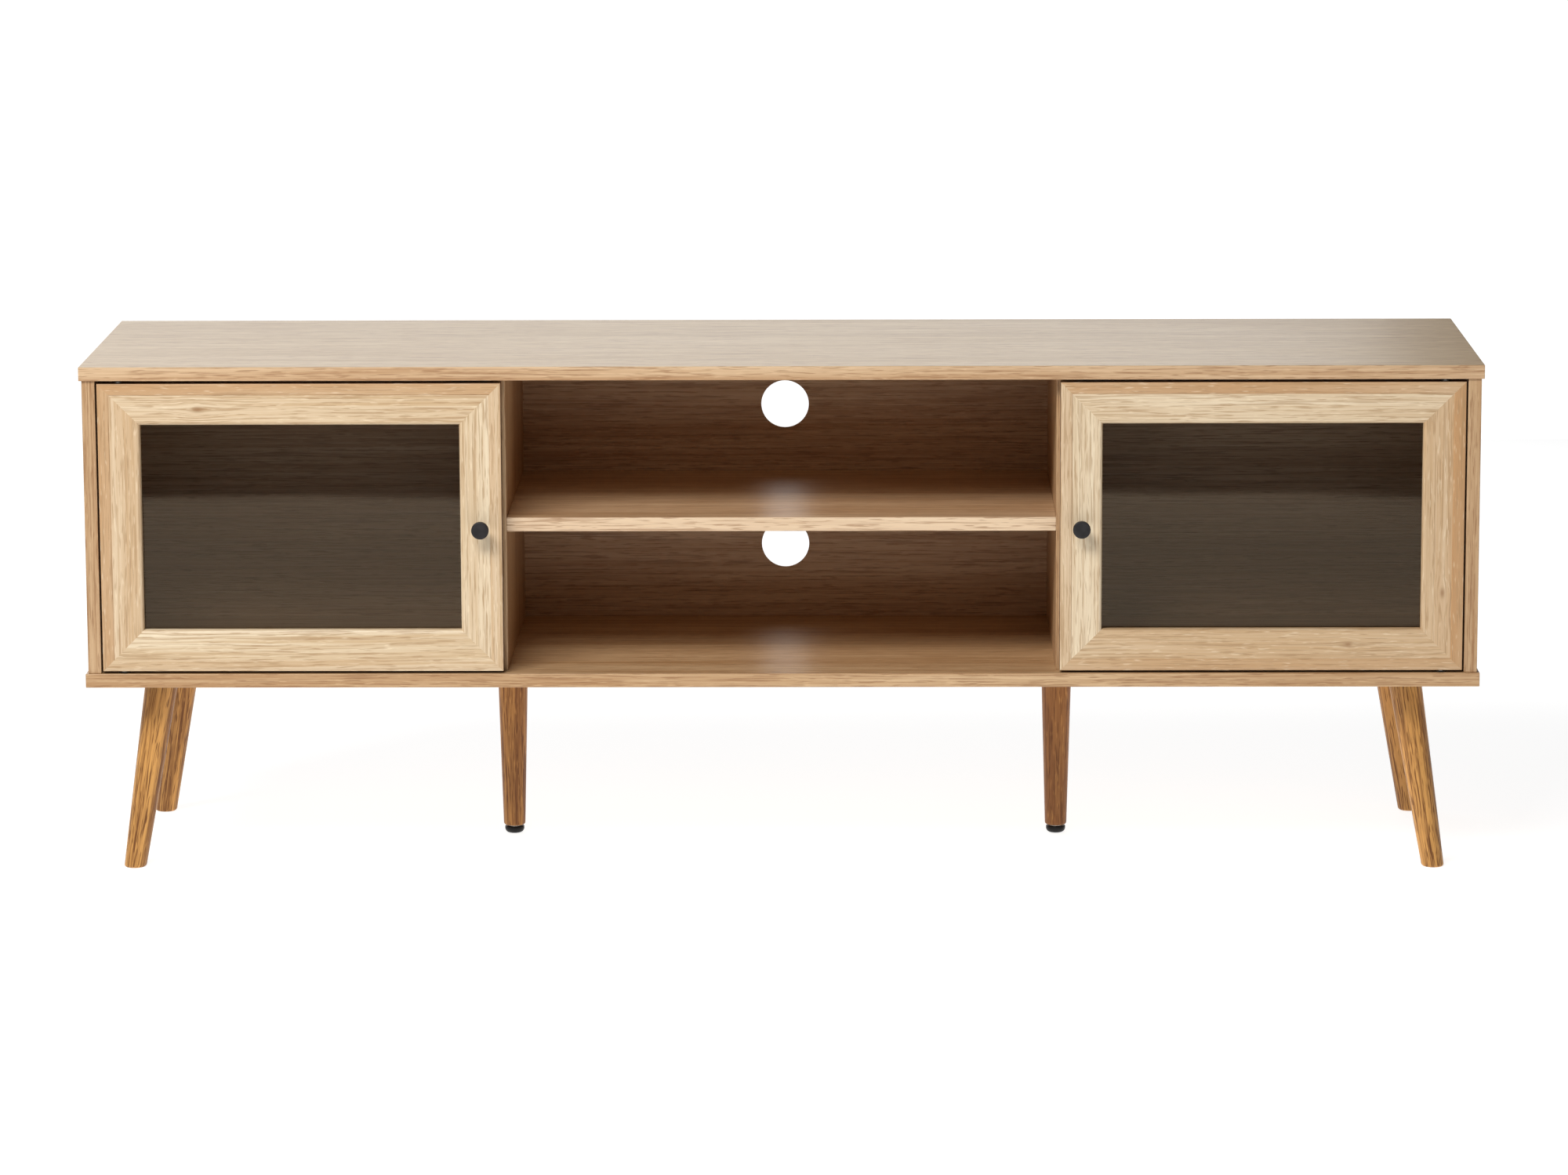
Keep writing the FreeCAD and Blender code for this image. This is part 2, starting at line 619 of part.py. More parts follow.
def build():
    parts = {}
    catch_body, magnet, catch_screws, catch_holes = left_catch()
    cams, bolts, dowels, fixing_cuts = upright_fixings()
    shelf_cams, shelf_bolts, shelf_dowels, shelf_cuts = shelf_fixings()
    low_bush, low_seat = pivot_bush(case_floor, -Z)
    high_bush, high_seat = pivot_bush(case_ceiling, Z)
    case_cuts = both_sides(fixing_cuts + shelf_cuts + catch_holes + [low_seat, high_seat])

    left_back, left_groove = back_panel(-side_inner, -divider_outer)
    centre_back, centre_groove = back_panel(-divider_inner, divider_inner)
    holes = ((case_floor, shelf_bottom, lower_cable_hole_lift), (shelf_top, case_ceiling, upper_cable_hole_lift))
    for low, high, lift in holes:
        centre = Vector(0, back_front - 1, (low + high) / 2 + lift)
        hole = rod(centre, Y, cable_hole_diameter, back_thickness + 2)
        centre_back = centre_back.cut(hole)
    parts["left_back_panel"] = left_back
    parts["right_back_panel"] = mirrored(left_back)
    parts["centre_back_panel"] = centre_back
    case_cuts += [left_groove, mirrored(left_groove), centre_groove]

    hangers, corner_plates, centre_plates, plate_screws = [], [], [], []
    pads_and_inserts = {side: leveller(side) for side in (-1, 1)}
    for side, hand in ((-1, "left"), (1, "right")):
        for end, place in ((-1, "front"), (1, "rear")):
            foot, top = corner_leg_ends(side, end)
            stud, bore, pocket = hanger_bolt(foot, top)
            plate, screws, holes = leg_plate(top, bore)
            leg = tapered_leg(foot, top, corner_foot_diameter, leg_top_diameter, 0)
            parts[place + "_" + hand + "_leg"] = leg.cut(bore)
            corner_plates.append(plate)
            hangers.append(stud)
            plate_screws += screws
            case_cuts += holes + [pocket]
        foot, top = centre_leg_ends(side)
        pad, pad_stud, insert, insert_cuts = pads_and_inserts[side]
        stud, bore, pocket = hanger_bolt(foot, top)
        plate, screws, holes = leg_plate(top, bore)
        leg_start = leveller_height + leveller_gap + insert_flange_thickness
        leg = tapered_leg(foot, top, centre_foot_diameter, centre_leg_top_diameter, leg_start)
        parts[hand + "_centre_leg"] = bored(leg, [bore] + insert_cuts)
        parts[hand + "_leveller_pad"] = pad
        parts[hand + "_leveller_stud"] = pad_stud
        centre_plates.append(plate)
        hangers.append(stud)
        plate_screws += screws
        case_cuts += holes + [pocket]

    half = overall_length / 2
    top_panel = board(-half, half, front_edge, rear_edge, case_ceiling, overall_height)
    bottom_panel = board(-half, half, front_edge, rear_edge, leg_height, case_floor)
    side_panel = board(-side_outer, -side_inner, door_front, rear_edge, case_floor, case_ceiling)
    divider = board(-divider_outer, -divider_inner, divider_front, rear_edge, case_floor, case_ceiling)
    shelf = board(-divider_inner, divider_inner, divider_front, back_front - shelf_back_gap,
                  shelf_bottom, shelf_top)
    parts["top_panel"] = bored(top_panel, case_cuts)
    parts["bottom_panel"] = bored(bottom_panel, case_cuts)
    parts["left_side_panel"] = bored(side_panel, case_cuts)
    parts["right_side_panel"] = bored(mirrored(side_panel), case_cuts)
    parts["left_divider"] = bored(divider, case_cuts)
    parts["right_divider"] = bored(mirrored(divider), case_cuts)
    parts["centre_shelf"] = bored(shelf, case_cuts)

    parts["cam_locks"] = both_sides(cams + shelf_cams)
    parts["cam_bolts"] = both_sides(bolts + shelf_bolts)
    parts["wooden_dowels"] = both_sides(dowels + shelf_dowels)
    parts["corner_leg_plates"] = corner_plates
    parts["centre_leg_plates"] = centre_plates
    parts["hanger_bolts"] = hangers
    parts["leg_plate_screws"] = plate_screws
    parts["leveller_inserts"] = [pads_and_inserts[side][2] for side in (-1, 1)]
    parts["pivot_bushes"] = both_sides([low_bush, high_bush])
    parts["magnet_catch_bodies"] = both_sides([catch_body])
    parts["catch_magnets"] = both_sides([magnet])
    parts["catch_screws"] = both_sides(catch_screws)

    for name, piece in left_door().items():
        parts["left_door_" + name] = piece
        if isinstance(piece, list):
            parts["right_door_" + name] = [mirrored(solid) for solid in piece]
        else:
            parts["right_door_" + name] = mirrored(piece)
    return parts


os.makedirs("parts", exist_ok=True)
for node, piece in build().items():
    shape = Part.makeCompound(piece) if isinstance(piece, list) else piece
    if not shape.isValid():
        raise ValueError(node + " is not a valid shape")
    shape.exportStep(os.path.join("parts", node + ".step"))
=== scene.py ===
import json
import math

import bmesh
import bpy
from mathutils import Matrix, Vector


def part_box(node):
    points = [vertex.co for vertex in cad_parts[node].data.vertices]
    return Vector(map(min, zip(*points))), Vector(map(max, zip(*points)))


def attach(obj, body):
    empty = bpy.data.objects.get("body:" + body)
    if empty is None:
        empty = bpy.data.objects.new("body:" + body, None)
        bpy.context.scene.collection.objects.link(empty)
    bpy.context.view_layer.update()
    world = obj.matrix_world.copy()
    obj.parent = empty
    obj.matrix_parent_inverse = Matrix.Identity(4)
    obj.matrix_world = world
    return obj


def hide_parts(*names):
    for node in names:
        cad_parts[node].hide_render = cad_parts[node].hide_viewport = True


# Looks of the media cabinet. Metres, in the cabinet's own frame: X along the case, Y from the doors
# to the back, Z up from the floor.

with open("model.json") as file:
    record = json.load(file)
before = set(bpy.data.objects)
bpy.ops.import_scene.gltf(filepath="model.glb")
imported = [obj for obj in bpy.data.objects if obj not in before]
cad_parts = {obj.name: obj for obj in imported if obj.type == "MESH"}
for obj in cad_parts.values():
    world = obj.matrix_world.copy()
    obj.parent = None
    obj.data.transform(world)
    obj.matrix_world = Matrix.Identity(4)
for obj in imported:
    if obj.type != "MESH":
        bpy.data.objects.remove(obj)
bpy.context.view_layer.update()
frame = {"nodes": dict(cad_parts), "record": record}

MM = 0.001
X = Vector((1, 0, 0))
Y = Vector((0, 1, 0))
Z = Vector((0, 0, 1))

# Camera: place, heading to the right, tilt down and roll in radians, and lens in millimetres
CAMERA_PLACE = Vector((0.1015, -6.8242, 1.5323))
CAMERA_HEADING = -0.0148
CAMERA_TILT = 0.1782
CAMERA_ROLL = -0.0038
CAMERA_LENS = 135.25
SENSOR_WIDTH = 36.0

# Door mouldings, by width from the door's outer edge and depth from its front
RAIL_ARRIS = 1.0 * MM
OUTER_BAND = 13.0 * MM
BAND_STEP = 0.8 * MM
LIP_RADIUS = 4.5 * MM
RABBET = 7.0 * MM
BACK_ARRIS = 0.6 * MM
RAIL_STATIONS = 24

# Each rail is its own stretch of timber: how dark its outer band is, and how brown it is, from 0 to 1
RAIL_TIMBER = {
    "left_door_bottom_rail": (0.25, 0.00),
    "left_door_top_rail": (1.00, 0.25),
    "left_door_hinge_stile": (0.85, 0.55),
    "left_door_knob_stile": (0.45, 0.10),
    "right_door_bottom_rail": (0.50, 0.50),
    "right_door_top_rail": (0.90, 0.15),
    "right_door_knob_stile": (0.45, 0.05),
    "right_door_hinge_stile": (1.00, 0.70),
}

# Painted shade on each leg, from 0 to 1: darkest on the centre legs, which stand under the case, palest on
# the rear left leg
LEG_PAINTED_SHADE = {
    "front_left_leg": 0.10,
    "front_right_leg": 0.15,
    "left_centre_leg": 0.50,
    "rear_left_leg": 0.00,
    "rear_right_leg": 0.35,
    "right_centre_leg": 0.90,
}

# Turned pieces: sides round the axis, stations along it, and radii and heights
LEG_SIDES = 72
LEG_STATIONS = 60
FOOT_EDGE = 3.0 * MM
KNOB_SIDES = 64
KNOB_FOOT = 6.5 * MM
KNOB_STEM = 4.5 * MM
KNOB_FLARE = 1.6 * MM
KNOB_HEAD = 6.0 * MM
KNOB_RIM = 1.2 * MM
PAD_SIDES = 64
PAD_SOLE = 5.5 * MM
PAD_CROWN = 0.8 * MM

# Fasteners. The root of a thread is a share of its shank's radius.
SCREW_SIDES = 24
SCREW_SHANK = 2.0 * MM
THREAD_PITCH = 1.4 * MM
THREAD_ROOT = 0.72
SCREW_SLOT_WIDTH = 0.9 * MM
SCREW_SLOT_DEPTH = 1.3 * MM
CAM_SIDES = 48
CAM_SLOT_LENGTH = 9 * MM
CAM_SLOT_WIDTH = 1.4 * MM
CAM_SLOT_DEPTH = 2 * MM
SLOT_EDGE = 0.1 * MM

# How far the lines of the grain wander, slowly and quickly
GRAIN_DRIFT = 12 * MM
GRAIN_RIPPLE = 2 * MM
GRAIN_DEPTH = 0.08 * MM

# Where each finish, rail and leg is cut from its timber, in metres along the grain, so that none
# shares its figure with another
TOP_CUT = 0.35
BOTTOM_CUT = 3.1
SHELF_CUT = 5.3
BACK_CUT = 7.7
UPRIGHT_CUT = 11.2
BEECH_CUT = 15.0
LEFT_DOOR_CUT = 1.0
RIGHT_DOOR_CUT = 9.0
RAIL_CUT_SPACING = 2
LEG_CUT_SPACING = 1.7

# Knots in the door frames: place along and across the timber, and size
DOOR_KNOTS = ((3.115, 1.530, 9 * MM), (9.330, 4.530, 7 * MM), (15.09, 7.524, 8 * MM))

# Glass: what one face lets through, the colour it mirrors in, and its waviness
GLASS_TINT = (0.91, 0.90, 0.89, 1.0)
GLASS_MIRROR_TONE = (0.62, 0.50, 0.36, 1.0)
GLASS_INDEX = 1.5
GLASS_ROUGHNESS = 0.02
GLASS_WAVE = 0.4 * MM
PANE_EDGE = 0.5 * MM

# Studio, in metres, watts and strengths
FLOOR_LEFT = -14
FLOOR_RIGHT = 14
FLOOR_FRONT = -2.84
FLOOR_REAR = 3.1
FLOOR_DARKER = (0.38, 0.38, 0.38, 1.0)
FLOOR_LIGHTER = (0.42, 0.42, 0.42, 1.0)
FLOOR_GLOW = 0.86
AIR_GLOW = 0.09
KEY_PLACE = Vector((-1.5, -2.9, 3.3))
KEY_TARGET = Vector((0.0, 0.0, 0.4))
KEY_WIDTH = 3.0
KEY_HEIGHT = 1.1
KEY_WATTS = 170
WALL_PLACE = Vector((-1.5, 3.2, 1.9))
WALL_TARGET = Vector((-1.5, 0.0, 1.9))
WALL_WIDTH = 5.0
WALL_HEIGHT = 3.6
WALL_WATTS = 76
WHITE = (1.0, 1.0, 1.0, 1.0)


# ---------------------------------------------------------------- node trees

class Link:
    """An output socket. Arithmetic on it adds Math nodes to its tree."""

    def __init__(self, tree, socket):
        self.tree = tree
        self.socket = socket

    def __add__(self, other):
        return self.tree.math("ADD", self, other)

    def __radd__(self, other):
        return self.tree.math("ADD", other, self)

    def __sub__(self, other):
        return self.tree.math("SUBTRACT", self, other)

    def __rsub__(self, other):
        return self.tree.math("SUBTRACT", other, self)

    def __mul__(self, other):
        return self.tree.math("MULTIPLY", self, other)

    def __rmul__(self, other):
        return self.tree.math("MULTIPLY", other, self)

    def __truediv__(self, other):
        return self.tree.math("DIVIDE", self, other)

    def __rtruediv__(self, other):
        return self.tree.math("DIVIDE", other, self)

    def __pow__(self, other):
        return self.tree.math("POWER", self, other)


class Tree:
    """Adds nodes to a shader or geometry tree."""

    def __init__(self, node_tree):
        self.node_tree = node_tree

    def node(self, kind, settings, inputs, output=0):
        node = self.node_tree.nodes.new(kind)
        for name, value in settings.items():
            setattr(node, name, value)
        for key, value in inputs.items():
            socket = node.inputs[key]
            if isinstance(value, Link):
                self.node_tree.links.new(value.socket, socket)
            else:
                socket.default_value = value
        return Link(self, node.outputs[output]) if len(node.outputs) else node

    def math(self, operation, *values):
        return self.node("ShaderNodeMath", {"operation": operation}, dict(enumerate(values)))

    def combine(self, x, y, z):
        return self.node("ShaderNodeCombineXYZ", {}, {0: x, 1: y, 2: z})

    def separate(self, vector):
        split = self.node("ShaderNodeSeparateXYZ", {}, {0: vector})
        outputs = split.socket.node.outputs
        return [Link(self, outputs[i]) for i in range(3)]

    def vector(self, operation, *values, output=0):
        return self.node("ShaderNodeVectorMath", {"operation": operation}, dict(enumerate(values)), output)

    def scaled(self, vector, factor):
        return self.node("ShaderNodeVectorMath", {"operation": "SCALE"}, {"Vector": vector, "Scale": factor})

    def step(self, value, low, high, to_low=0.0, to_high=1.0):
        """A smooth change from to_low to to_high as value goes from low to high."""
        return self.node("ShaderNodeMapRange", {"interpolation_type": "SMOOTHSTEP"},
                         {0: value, 1: low, 2: high, 3: to_low, 4: to_high})


class Finish(Tree):
    """A material being made."""

    def __init__(self, name):
        self.material = bpy.data.materials.new(name)
        self.material.use_nodes = True
        super().__init__(self.material.node_tree)
        self.node_tree.nodes.clear()

    def noise(self, vector, detail=2.0, rough=0.5):
        return self.node("ShaderNodeTexNoise", {}, {
            "Vector": vector, "Scale": 1.0, "Detail": detail, "Roughness": rough, "Distortion": 0.0})

    def mix(self, factor, first, second):
        return self.node("ShaderNodeMix", {"data_type": "RGBA"}, {0: factor, 6: first, 7: second}, 2)

    def object_place(self):
        return self.node("ShaderNodeTexCoord", {}, {}, "Object")

    def attribute(self, name, output):
        return self.node("ShaderNodeAttribute", {"attribute_name": name}, {}, output)

    def bump(self, height, distance):
        return self.node("ShaderNodeBump", {}, {"Height": height, "Distance": distance, "Strength": 1.0})

    def surface(self, shader):
        self.node("ShaderNodeOutputMaterial", {}, {"Surface": shader})
        return self.material

    def principled(self, **inputs):
        named = {name.replace("_", " "): value for name, value in inputs.items()}
        return self.surface(self.node("ShaderNodeBsdfPrincipled", {}, named))


# ---------------------------------------------------------------- finishes

def linear(red, green, blue):
    """A linear colour from an 8-bit display colour."""
    def channel(value):
        share = value / 255
        return share / 12.92 if share <= 0.04045 else ((share + 0.055) / 1.055) ** 2.4
    return channel(red), channel(green), channel(blue), 1.0


def oak_figure(finish, place, knots=()):
    """The figure of oak. place runs along the grain in X and across it in Y and Z, in metres.

    Returns broad bands, fine lines, dark streaks, pores, ray flecks and knots, each from 0 to 1.
    """
    along, across, depth = finish.separate(place)
    drift = finish.noise(finish.combine(along * 1.6, across * 7, depth * 7), detail=2.0)
    ripple = finish.noise(finish.combine(along * 9, across * 22, depth * 22), detail=1.0)
    line_place = across + (drift - 0.5) * GRAIN_DRIFT + (ripple - 0.5) * GRAIN_RIPPLE
    knot_mask = 0.0
    for knot_along, knot_across, size in knots:
        from_knot = along - knot_along
        beside_knot = across - knot_across
        reach = (from_knot * from_knot / (2.2 * 2.2) + beside_knot * beside_knot) / (size * size)
        near = finish.math("EXPONENT", reach * -1.0)
        line_place = line_place + beside_knot * near * -0.75
        knot_mask = finish.math("EXPONENT", reach * -9.0) + knot_mask

    # Each pattern has its scale along and across the grain, its detail and its roughness
    def figure(along_scale, across_scale, detail, rough=0.5):
        stretched = finish.combine(along * along_scale, line_place * across_scale, depth * across_scale)
        return finish.noise(stretched, detail, rough)

    bands = figure(0.8, 24, 3.0, 0.55)
    lines = figure(2.6, 270, 3.0, 0.65)
    streaks = finish.step(figure(9, 430, 2.0), 0.54, 0.66)
    pores = finish.step(figure(38, 640, 1.0), 0.56, 0.68)
    flecks = finish.step(figure(60, 460, 1.0), 0.60, 0.74)
    return bands, lines, streaks, pores, flecks, knot_mask


def tinted(colour, shares):
    """A colour with each channel scaled, no brighter than white."""
    return tuple(min(1.0, channel * share) for channel, share in zip(colour, shares)) + (1.0,)


def oak(finish, place, pale, deep, contrast=1.0, gloss=0.5, knots=(), coat=0.0, shades=(), cover=None):
    """Oak or oak foil in two tones. Each shade is a mask and the colour that it brings in.

    The cover is one more mask and colour that hide the figure as well.
    """
    bands, lines, streaks, pores, flecks, knot = oak_figure(finish, place, knots)
    spread = 0.17 / contrast
    tone = finish.step(bands * 0.5 + lines * 0.5, 0.5 - spread, 0.5 + spread)
    colour = finish.mix(tone, deep, pale)
    for mask, shade in shades:
        colour = finish.mix(mask, colour, shade)
    streak_tone = tinted(deep, (0.66, 0.56, 0.46))
    colour = finish.mix(streaks * (0.55 * contrast), colour, streak_tone)
    colour = finish.mix(pores * (0.55 * contrast), colour, streak_tone)
    colour = finish.mix(flecks * 0.3, colour, tinted(pale, (1.14, 1.14, 1.14)))
    if knots:
        colour = finish.mix(knot * 0.75, colour, tinted(deep, (0.5, 0.36, 0.25)))
    if cover:
        mask, tone = cover
        colour = finish.mix(mask, colour, tone)
    height = lines * 0.5 - pores * 0.6 - streaks * 0.4
    return finish.principled(
        Base_Color=colour,
        Roughness=finish.step(lines, 0.3, 0.7, 0.46, 0.38),
        Specular_IOR_Level=gloss,
        Coat_Weight=coat,
        Coat_Roughness=0.3,
        Normal=finish.bump(height, GRAIN_DEPTH),
    )


# Wood: pale and deep tones of each kind, and the tones brought in on some faces and stretches, among them
# painted sheen, painted shade and painted light
BOARD_PALE = linear(218, 186, 148)
BOARD_DEEP = linear(180, 138, 96)
# The shelf's front edge: paler edge banding, partly a painted light
SHELF_EDGE_BANDING_AND_PAINTED_LIGHT = linear(255, 232, 200)
RAW_BOARD_TONE = linear(124, 92, 62)
FRAME_PALE = linear(236, 219, 189)
FRAME_DEEP = linear(202, 172, 132)
BAND_TONE = linear(190, 146, 100)
BROWN_TIMBER = linear(192, 150, 104)
UPRIGHT_PALE = linear(206, 173, 133)
UPRIGHT_DEEP = linear(170, 128, 86)
# Painted sheen: a paler, greyer tone mixed half into the top's upper face
TOP_PAINTED_SHEEN_TONE = linear(198, 180, 142)
# Painted shade: the doors' outer side faces are nearly all this dark brown, so that the gaps round the doors
# read dark
DOOR_EDGE_PAINTED_SHADE = linear(92, 66, 45)
BOTTOM_PALE = linear(215, 182, 140)
BOTTOM_DEEP = linear(174, 131, 86)
LEG_PALE = linear(220, 163, 90)
LEG_DEEP = linear(126, 80, 38)
# Painted shade on the legs: the dark brown mixed in as each leg's share says
LEG_SHADE_TONE = linear(126, 76, 38)
BEECH_PALE = linear(222, 190, 150)
BEECH_DEEP = linear(200, 162, 120)

# Metal and plastic
ZINC_TONE = (0.62, 0.62, 0.60, 1.0)
FERRITE_TONE = (0.10, 0.10, 0.11, 1.0)
COAT_TONE = linear(34, 32, 33)
PAINT_TONE = linear(30, 30, 31)
BLACK_PLASTIC_TONE = linear(12, 12, 12)
WHITE_PLASTIC_TONE = linear(226, 223, 215)


def board_oak(name, along_axis, shift, pale=BOARD_PALE, deep=BOARD_DEEP, coat=0.0, facing=None, raw=False):
    """Oak foil on a board, its grain along X or Z.

    facing is the direction of some of its faces, a share and the colour that is brought in there: on the top
    a painted sheen, on the shelf's front edge paler banding that is partly painted light.
    On a raw board those faces are bare fibreboard.
    """
    finish = Finish(name)
    x, y, z = finish.separate(finish.object_place())
    along, across, depth = (x, y, z) if along_axis == "X" else (z, y, x)
    place = finish.combine(along + shift, across + shift * 0.37, depth)
    shades = []
    if facing:
        direction, share, tone = facing
        normal = finish.node("ShaderNodeNewGeometry", {}, {}, "Normal")
        likeness = finish.vector("DOT_PRODUCT", normal, direction, output="Value")
        shades.append((finish.step(likeness, 0.4, 0.6) * share, tone))
    if raw:
        fibres = finish.noise(finish.combine(x * 500, y * 500, z * 500), detail=3.0, rough=0.7)
        mask, tone = shades.pop()
        return oak(finish, place, pale, deep, cover=(mask * finish.step(fibres, 0.3, 0.7, 0.78, 1.0), tone))
    return oak(finish, place, pale, deep, coat=coat, shades=shades)


def frame_oak(knots):
    """The door frames: each rail has its own grain and brown and a browner outer band; the outer side faces
    carry painted shade, dark so that the gaps round the doors read dark.
    """
    finish = Finish("oak_door_frames")
    place = finish.attribute("grain", "Vector")
    from_edge = finish.attribute("from_edge", "Fac")
    outer = finish.step(from_edge, OUTER_BAND, OUTER_BAND + 1.2 * MM, 1.0, 0.0)
    # The outer side faces take painted shade, so that the gaps round the doors read dark
    side = finish.step(from_edge, 0.1 * MM, 0.5 * MM, 0.95, 0.0)
    cloud = finish.noise(finish.vector("MULTIPLY", place, (2.2, 30.0, 30.0)))
    mottle = finish.step(cloud, 0.3, 0.7, 0.55, 1.0)
    shades = [
        (finish.attribute("brown", "Fac") * mottle, BROWN_TIMBER),
        (outer * mottle * finish.attribute("band", "Fac"), BAND_TONE),
        (side, DOOR_EDGE_PAINTED_SHADE),
    ]
    return oak(finish, place, FRAME_PALE, FRAME_DEEP, knots=knots, shades=shades)


def leg_oak():
    """The turned legs: golden oak, each darkened by its own share of painted shade."""
    finish = Finish("oak_legs")
    # Painted shade: each leg is darkened by its own share
    shades = [(finish.attribute("brown", "Fac") * 0.8, LEG_SHADE_TONE)]
    place = finish.attribute("grain", "Vector")
    return oak(finish, place, LEG_PALE, LEG_DEEP, contrast=1.5, gloss=0.3, shades=shades)


def smoked_glass():
    """Thin, lightly smoked glass: tinted see-through and a slightly wavy reflection from each face."""
    finish = Finish("smoked_glass_polished")
    x, y, z = finish.separate(finish.object_place())
    wave = finish.noise(finish.combine(x * 4.0, y, z * 5.0), detail=0.0)
    haze = finish.noise(finish.combine(x * 30, y, z * 30))
    normal = finish.bump(wave, GLASS_WAVE)
    clear = finish.node("ShaderNodeBsdfTransparent", {}, {"Color": GLASS_TINT})
    gloss = finish.node("ShaderNodeBsdfGlossy", {}, {
        "Color": GLASS_MIRROR_TONE, "Normal": normal,
        "Roughness": GLASS_ROUGHNESS + haze * GLASS_ROUGHNESS})
    share = finish.node("ShaderNodeFresnel", {}, {"IOR": GLASS_INDEX, "Normal": normal})
    return finish.surface(finish.node("ShaderNodeMixShader", {}, {0: share, 1: clear, 2: gloss}))


def metal(name, colour, roughness, streak=0.08, metallic=1.0):
    """Plated or ground metal with faint mottling."""
    finish = Finish(name)
    place = finish.object_place()
    fine = finish.noise(finish.vector("MULTIPLY", place, (900.0, 900.0, 900.0)), detail=3.0)
    cloud = finish.noise(finish.vector("MULTIPLY", place, (70.0, 70.0, 70.0)), detail=2.0)
    darker = tuple(channel * (1 - 3 * streak) for channel in colour[:3]) + (1.0,)
    return finish.principled(
        Base_Color=finish.mix(finish.step(cloud, 0.3, 0.7), darker, colour),
        Metallic=metallic,
        Roughness=roughness + (fine - 0.5) * (2 * streak) + (cloud - 0.5) * streak,
        Normal=finish.bump(fine, 0.02 * MM),
    )


def moulded(name, colour, roughness, grain=0.04 * MM):
    """Plastic or powder coat with a fine moulded texture."""
    finish = Finish(name)
    place = finish.object_place()
    texture = finish.noise(finish.vector("MULTIPLY", place, (1600.0, 1600.0, 1600.0)), detail=2.0)
    cloud = finish.noise(finish.vector("MULTIPLY", place, (120.0, 120.0, 120.0)), detail=1.0)
    lighter = tuple(min(1.0, channel * 1.25 + 0.004) for channel in colour[:3]) + (1.0,)
    return finish.principled(
        Base_Color=finish.mix(finish.step(cloud, 0.3, 0.7), colour, lighter),
        Roughness=roughness + (texture - 0.5) * 0.12,
        Specular_IOR_Level=0.3,
        Normal=finish.bump(texture, grain),
    )


def studio_floor():
    """A pale seamless floor that is bright by itself, so that shadows on it stay light."""
    finish = Finish("pale_floor")
    cloud = finish.noise(finish.object_place(), detail=1.0)
    tone = finish.mix(cloud, FLOOR_DARKER, FLOOR_LIGHTER)
    return finish.principled(
        Base_Color=tone, Roughness=0.9, Specular_IOR_Level=0.0,
        Emission_Color=WHITE, Emission_Strength=FLOOR_GLOW)


# ---------------------------------------------------------------- meshes

def new_object(name, mesh, finish):
    """A mesh in one finish, as an object in the scene."""
    mesh.materials.clear()
    mesh.materials.append(finish)
    piece = bpy.data.objects.new(name, mesh)
    bpy.context.scene.collection.objects.link(piece)
    return piece


def mesh_from(bm, name, smooth_angle=0.6):
    """A plain mesh with its faces outwards, crisp at edges sharper than the angle in radians."""
    bmesh.ops.recalc_face_normals(bm, faces=bm.faces)
    mesh = bpy.data.meshes.new(name)
    bm.to_mesh(mesh)
    bm.free()
    mesh.shade_smooth()
    mesh.set_sharp_from_angle(angle=smooth_angle)
    return mesh


def settle(piece, body, slot, *nodes):
    """Puts a piece on its body and hides the nodes that it stands for; its slot is not used."""
    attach(piece, body)
    if nodes:
        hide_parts(*nodes)


def arc(centre, radius, start, end, steps):
    """Points on part of a circle, angles in degrees."""
    points = []
    for i in range(steps + 1):
        angle = math.radians(start + (end - start) * i / steps)
        points.append((centre[0] + radius * math.cos(angle), centre[1] + radius * math.sin(angle)))
    return points


def turned(name, finish, start, axis, outline, sides):
    """A lathe-turned piece. outline lists (height, radius) from one pole to the other."""
    bm = bmesh.new()
    turn = Z.rotation_difference(axis).to_matrix()

    def at(height, radius, side):
        angle = 2 * math.pi * side / sides
        return start + turn @ Vector((radius * math.cos(angle), radius * math.sin(angle), height))

    rings = [[bm.verts.new(at(height, radius, side)) for side in range(sides)] for height, radius in outline]
    for low, high in zip(rings, rings[1:]):
        for side in range(sides):
            after = (side + 1) % sides
            bm.faces.new((low[side], low[after], high[after], high[side]))
    for ring, (height, radius) in ((rings[0], outline[0]), (rings[-1], outline[-1])):
        pole = bm.verts.new(at(height, 0, 0))
        for side in range(sides):
            bm.faces.new((ring[side], ring[(side + 1) % sides], pole))
    return new_object(name, mesh_from(bm, name), finish)


def rounded_slab(name, finish, low, high, edge):
    """A sheet with its edges ground round. Every edge stays crisp, so that the faces reflect as flat."""
    bm = bmesh.new()
    bmesh.ops.create_cube(bm, size=1.0)
    size = high - low
    bmesh.ops.transform(bm, matrix=Matrix.Diagonal((*size, 1.0)), verts=bm.verts)
    bmesh.ops.translate(bm, vec=(low + high) / 2, verts=bm.verts)
    bmesh.ops.bevel(bm, geom=bm.edges[:], offset=edge, segments=3, profile=0.5, affect="EDGES")
    return new_object(name, mesh_from(bm, name, smooth_angle=0.2), finish)


# ---------------------------------------------------------------- doors

def rail_section(rail_width, thickness, glass_setback):
    """The moulding's outline, closed, by width from the door's edge and depth from its front."""
    lip = (rail_width - LIP_RADIUS, BAND_STEP + LIP_RADIUS)
    cove = 0.5 * MM
    points = arc((RAIL_ARRIS, RAIL_ARRIS), RAIL_ARRIS, 180, 270, 4)
    points += arc((OUTER_BAND - cove, cove), cove, 270, 340, 3)
    points += [(OUTER_BAND + 0.3 * MM, BAND_STEP), (OUTER_BAND + 1.2 * MM, BAND_STEP)]
    points += arc(lip, LIP_RADIUS, 270, 360, 10)
    points += [(rail_width, glass_setback), (rail_width - RABBET, glass_setback),
               (rail_width - RABBET, thickness)]
    points += arc((BACK_ARRIS, thickness - BACK_ARRIS), BACK_ARRIS, 90, 180, 2)
    return points


